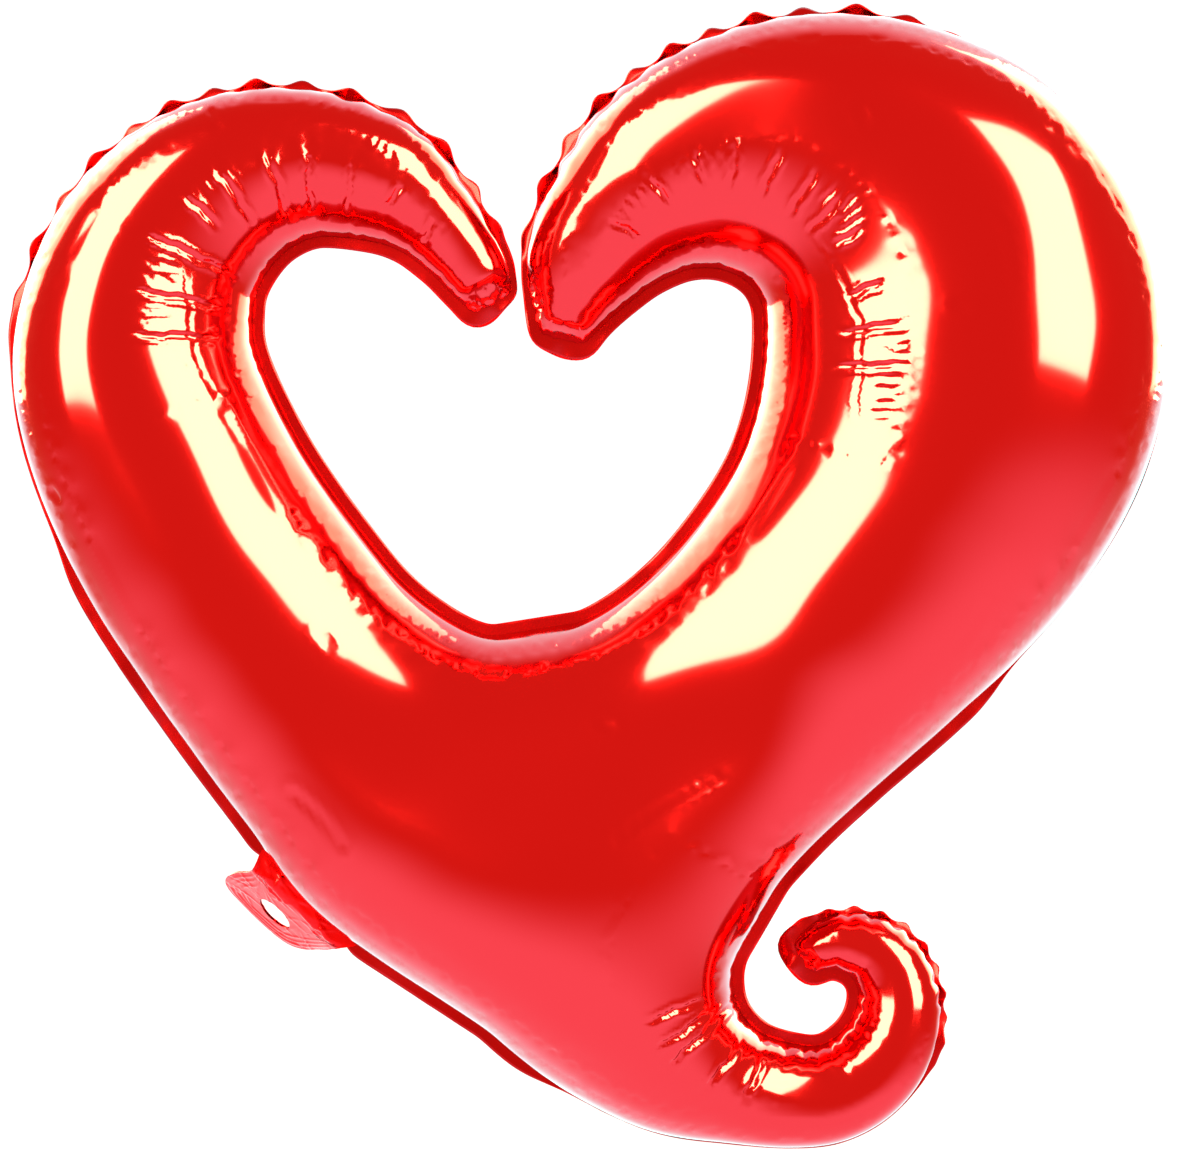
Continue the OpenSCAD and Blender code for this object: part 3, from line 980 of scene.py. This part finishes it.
def tab_film(name, side):
    """One film of the tab: rings drawn out from the tie hole to the edge, given a thickness."""
    deselect()
    bpy.ops.mesh.primitive_circle_add(vertices=132, radius=HOLE_R * MM, fill_type="NOTHING")
    obj = bpy.context.object
    obj.name = obj.data.name = name
    bpy.ops.object.mode_set(mode="EDIT")
    bpy.ops.mesh.select_all(action="SELECT")
    radii = HOLE_R + 30 * np.linspace(0, 1, 21)
    for a, b in zip(radii[:-1], radii[1:]):
        bpy.ops.mesh.extrude_edges_move()
        bpy.ops.transform.resize(value=(b / a, b / a, 1), center_override=(0, 0, 0))
    bpy.ops.mesh.select_all(action="SELECT")
    bpy.ops.mesh.subdivide(number_cuts=1)
    bpy.ops.object.mode_set(mode="OBJECT")
    mesh = obj.data
    co = np.empty(len(mesh.vertices) * 3)
    mesh.vertices.foreach_get("co", co)
    co = co.reshape(-1, 3) / MM
    angle = np.arctan2(co[:, 1], co[:, 0])
    t = np.clip((np.hypot(co[:, 0], co[:, 1]) - HOLE_R) / 30, 0, 1)
    loop = tab_loop() - HOLE_AT
    loop_angle = np.unwrap(np.arctan2(loop[:, 1], loop[:, 0]))
    loop_r = np.hypot(loop[:, 0], loop[:, 1])
    if loop_angle[-1] < loop_angle[0]:
        loop_angle, loop_r = loop_angle[::-1], loop_r[::-1]
    far = np.interp((angle - loop_angle[0]) % (2 * math.pi) + loop_angle[0], loop_angle, loop_r, period=2 * math.pi)
    r = HOLE_R + (far - HOLE_R) * t
    u, d = HOLE_AT[0] + r * np.cos(angle), HOLE_AT[1] + r * np.sin(angle)
    lift = side * 0.3 + tab_relief(u, d, far - r, side)
    mesh.vertices.foreach_set("co", (bent(u, d, lift) * MM).ravel())
    mesh.update()
    thick = obj.modifiers.new("Thickness", "SOLIDIFY")
    thick.thickness = 0.28 * MM
    thick.offset = 0
    bpy.ops.object.modifier_apply(modifier=thick.name)
    bpy.ops.object.mode_set(mode="EDIT")
    bpy.ops.mesh.select_all(action="SELECT")
    bpy.ops.mesh.normals_make_consistent(inside=False)
    bpy.ops.object.mode_set(mode="OBJECT")
    bpy.ops.object.shade_smooth_by_angle(angle=math.radians(50))
    return obj


# Settings, operators and panel


class BalloonFilm(bpy.types.PropertyGroup):
    """The balloon's film."""

    foil_colour: bpy.props.FloatVectorProperty(
        name="Foil colour", description="Tint of the metallised film", subtype="COLOR", size=3,
        min=0, max=1, default=(0.88, 0.026, 0.032),
    )
    tab_colour: bpy.props.FloatVectorProperty(
        name="Tab colour", description="Tint of the thin film of the filling tab", subtype="COLOR", size=3,
        min=0, max=1, default=(0.90, 0.014, 0.018),
    )
    roughness: bpy.props.FloatProperty(
        name="Roughness", description="How blurred the film's reflections are", subtype="FACTOR",
        min=0, max=1, default=0.10,
    )


class BalloonStage(bpy.types.PropertyGroup):
    """The plain studio around the balloon."""

    light_power: bpy.props.FloatProperty(
        name="Light power", description="Power of each soft light", subtype="POWER", unit="POWER",
        min=0, default=480.0,
    )
    floor_colour: bpy.props.FloatVectorProperty(
        name="Floor colour", description="Colour of the plain floor", subtype="COLOR", size=3,
        min=0, max=1, default=(0.96, 0.95, 0.96),
    )
    dim_colour: bpy.props.FloatVectorProperty(
        name="Dim side", description="Colour of the dim side of the room that the film mirrors", subtype="COLOR",
        size=3, min=0, max=1, default=(0.93, 0.42, 0.26),
    )
    distance: bpy.props.FloatProperty(
        name="Camera distance", description="From the seam plane to the camera", unit="LENGTH",
        min=0.3, default=1.25,
    )


def deselect():
    if bpy.context.object and bpy.context.object.mode != "OBJECT":
        bpy.ops.object.mode_set(mode="OBJECT")
    bpy.ops.object.select_all(action="DESELECT")


def dress(obj, kind):
    obj.data.materials.clear()
    obj.data.materials.append(look(kind))


class BALLOON_OT_panels(bpy.types.Operator):
    """Add the two inflated foil panels, which meet along the seam"""

    bl_idname = "balloon.panels"
    bl_label = "Foil Panels"
    bl_options = {"REGISTER", "UNDO"}

    def execute(self, context):
        for name, side, stands_for, kind in (
            ("foil_front", -1, "front_panel", "front_foil"), ("foil_back", 1, "back_panel", "back_foil"),
        ):
            obj = panel_mesh(name, side)
            dress(obj, kind)
            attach(obj, "balloon")
            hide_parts(stands_for)
        return {"FINISHED"}


class BALLOON_OT_weld_margin(bpy.types.Operator):
    """Add the flat welded border that puckers round the seam"""

    bl_idname = "balloon.weld_margin"
    bl_label = "Weld Margin"
    bl_options = {"REGISTER", "UNDO"}

    def execute(self, context):
        obj = margin_mesh("weld_margin")
        dress(obj, "margin_foil")
        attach(obj, "balloon")
        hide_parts("weld_seam")
        return {"FINISHED"}


class BALLOON_OT_tab(bpy.types.Operator):
    """Add the two films of the filling tab, with its tie hole"""

    bl_idname = "balloon.tab"
    bl_label = "Filling Tab"
    bl_options = {"REGISTER", "UNDO"}

    def execute(self, context):
        for name, side, stands_for, kind in (
            ("tab_front", 1, "tab_front_film", "front_foil"), ("tab_back", -1, "tab_back_film", "back_foil"),
        ):
            obj = tab_film(name, side)
            dress(obj, "tab_foil")
            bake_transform(obj)
            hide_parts(stands_for)
        return {"FINISHED"}


class BALLOON_OT_valve(bpy.types.Operator):
    """Give the valve's clear films their material"""

    bl_idname = "balloon.valve"
    bl_label = "Valve Films"
    bl_options = {"REGISTER", "UNDO"}

    def execute(self, context):
        for name in ("valve_front_film", "valve_back_film", "valve_mouth"):
            obj = bpy.data.objects[name]
            for place in obj.material_slots:
                place.material = look("valve_film")
            if not obj.material_slots:
                raise RuntimeError(f"{name} has no material slot")
        return {"FINISHED"}


def aimed(obj, at, roll):
    """Turns a light to face a point, leaning to one side by the roll."""
    way = (Vector(at) - obj.location).to_track_quat("-Z", "Y")
    obj.rotation_euler = (way @ Quaternion((0, 0, 1), roll)).to_euler()


# Each soft light: its name, how far it stands to the right and behind in metres, and its share of the power.
SOFT_LIGHTS = (
    ("softbox_left", -2.32, -1.95, 1.0), ("softbox_right", 2.32, -1.95, 1.0),
    ("rear_left", -2.32, 2.3, 0.3), ("rear_right", 2.32, 2.3, 0.3),
)
LIGHT_WIDTH, LIGHT_HEIGHT, LIGHT_RISE = 2.2, 3.3, 1.47
LIGHT_COLOUR = (1.0, 0.98, 0.60)
LIGHT_ROLL = math.radians(10)
# What the film mirrors from below and from behind, brighter than white.
FLOOR_GLOW, PALE_WALL = (1.25, 2.2, 2.4), (1.15, 2.1, 2.15)
# The middle of the picture in x and z, and the width that it takes in at the seam plane, in metres.
VIEW_MIDDLE, VIEW_WIDTH = (0.1112, 0.1177), 0.4112
SENSOR = 36
FLOOR_GAP = 0.04


class BALLOON_OT_stage(bpy.types.Operator):
    """Add the floor, the soft lights, the pale surroundings and the camera"""

    bl_idname = "balloon.stage"
    bl_label = "Stage"
    bl_options = {"REGISTER", "UNDO"}

    def execute(self, context):
        scene = context.scene
        stage = scene.balloon_stage
        middle = Vector((VIEW_MIDDLE[0], SEAM_Y * MM, VIEW_MIDDLE[1]))
        deselect()
        bpy.ops.mesh.primitive_plane_add(size=8, location=(0.11, 0, CAD_BOX[0][2] - FLOOR_GAP))
        floor = context.object
        floor.name = "floor"
        bpy.ops.object.transform_apply(location=True, rotation=True, scale=True)
        mat, nt, shader = new_material("floor_paper")
        shader.inputs["Base Color"].default_value = (*stage.floor_colour, 1)
        shader.inputs["Roughness"].default_value = 0.8
        floor.data.materials.append(mat)
        floor.visible_glossy = False

        for name, x, y, share in SOFT_LIGHTS:
            data = bpy.data.lights.new(name, "AREA")
            data.shape = "RECTANGLE"
            data.size, data.size_y = LIGHT_WIDTH, LIGHT_HEIGHT
            data.energy = stage.light_power * share
            data.color = LIGHT_COLOUR
            lamp = bpy.data.objects.new(name, data)
            lamp.location = (middle.x + x, middle.y + y, middle.z + LIGHT_RISE)
            aimed(lamp, middle, LIGHT_ROLL if x * y > 0 else -LIGHT_ROLL)
            lamp.visible_diffuse = False
            scene.collection.objects.link(lamp)

        world = bpy.data.worlds.new("pale_studio")
        scene.world = world
        world.use_nodes = True
        nt = world.node_tree
        link = nt.links.new
        ground = nt.nodes["Background"]
        coord = node(nt, "ShaderNodeTexCoord", -1300, 0)
        parts = node(nt, "ShaderNodeSeparateXYZ", -1120, 0)
        link(coord.outputs["Generated"], parts.inputs["Vector"])
        # The dim side faces the balloon's front. The pale wall starts further forward overhead than at the sides.
        top = node(nt, "ShaderNodeMath", -940, 160, operation="MAXIMUM")
        top.inputs[1].default_value = 0.0
        link(parts.outputs["Z"], top.inputs[0])
        reach = node(nt, "ShaderNodeMath", -760, 100, operation="MULTIPLY_ADD")
        reach.inputs[1].default_value = 0.35
        link(top.outputs[0], reach.inputs[0])
        link(parts.outputs["Y"], reach.inputs[2])
        behind = remap(nt, -580, 100, reach.outputs[0], (0.58, 0.86), curve="SMOOTHSTEP")
        floor_glow = remap(nt, -580, -200, parts.outputs["Z"], (-0.12, -0.68), curve="SMOOTHSTEP")
        glow = node(nt, "ShaderNodeMixRGB", -380, 0)
        glow.inputs["Color1"].default_value = (*stage.dim_colour, 1)
        glow.inputs["Color2"].default_value = (*FLOOR_GLOW, 1)
        link(floor_glow, glow.inputs["Fac"])
        wall = node(nt, "ShaderNodeMixRGB", -180, 0)
        wall.inputs["Color2"].default_value = (*PALE_WALL, 1)
        link(behind, wall.inputs["Fac"])
        link(glow.outputs["Color"], wall.inputs["Color1"])
        link(wall.outputs["Color"], ground.inputs["Color"])
        plain = node(nt, "ShaderNodeBackground", 20, 160, Color=(1.0, 1.0, 1.0, 1), Strength=1.05)
        path = node(nt, "ShaderNodeLightPath", -180, 420)
        either = node(nt, "ShaderNodeMath", 20, 420, operation="MAXIMUM")
        link(path.outputs["Is Camera Ray"], either.inputs[0])
        link(path.outputs["Is Diffuse Ray"], either.inputs[1])
        mix = node(nt, "ShaderNodeMixShader", 240, 100)
        link(either.outputs[0], mix.inputs[0])
        link(ground.outputs[0], mix.inputs[1])
        link(plain.outputs[0], mix.inputs[2])
        link(mix.outputs[0], nt.nodes["World Output"].inputs["Surface"])

        cam = bpy.data.cameras.new("camera")
        cam.sensor_width = SENSOR
        cam.lens = SENSOR * stage.distance / VIEW_WIDTH
        eye = bpy.data.objects.new("camera", cam)
        eye.location = middle - Vector((0, stage.distance, 0))
        eye.rotation_euler = (math.radians(90), 0, 0)
        scene.collection.objects.link(eye)
        scene.camera = eye
        scene.view_settings.view_transform = "Standard"
        scene.view_settings.gamma = 0.75
        return {"FINISHED"}


class BALLOON_PT_builder(bpy.types.Panel):
    """Sidebar panel with the balloon's settings and steps"""

    bl_label = "Foil Balloon"
    bl_idname = "BALLOON_PT_builder"
    bl_space_type = "VIEW_3D"
    bl_region_type = "UI"
    bl_category = "Balloon"

    def draw(self, context):
        layout = self.layout
        for group in (context.scene.balloon_film, context.scene.balloon_stage):
            box = layout.box()
            for name in group.__annotations__:
                box.prop(group, name)
        for step in STEPS:
            layout.operator(step.bl_idname)


STEPS = (BALLOON_OT_stage, BALLOON_OT_panels, BALLOON_OT_weld_margin, BALLOON_OT_tab, BALLOON_OT_valve)
GROUPS = (BalloonFilm, BalloonStage)


def register():
    for cls in (*GROUPS, *STEPS, BALLOON_PT_builder):
        bpy.utils.register_class(cls)
    bpy.types.Scene.balloon_film = bpy.props.PointerProperty(type=BalloonFilm)
    bpy.types.Scene.balloon_stage = bpy.props.PointerProperty(type=BalloonStage)


def unregister():
    del bpy.types.Scene.balloon_stage
    del bpy.types.Scene.balloon_film
    for cls in reversed((*GROUPS, *STEPS, BALLOON_PT_builder)):
        bpy.utils.unregister_class(cls)


def main():
    register()
    deselect()
    bpy.ops.balloon.stage()
    bpy.ops.balloon.panels()
    bpy.ops.balloon.weld_margin()
    bpy.ops.balloon.tab()
    bpy.ops.balloon.valve()


if __name__ == "__main__":
    main()
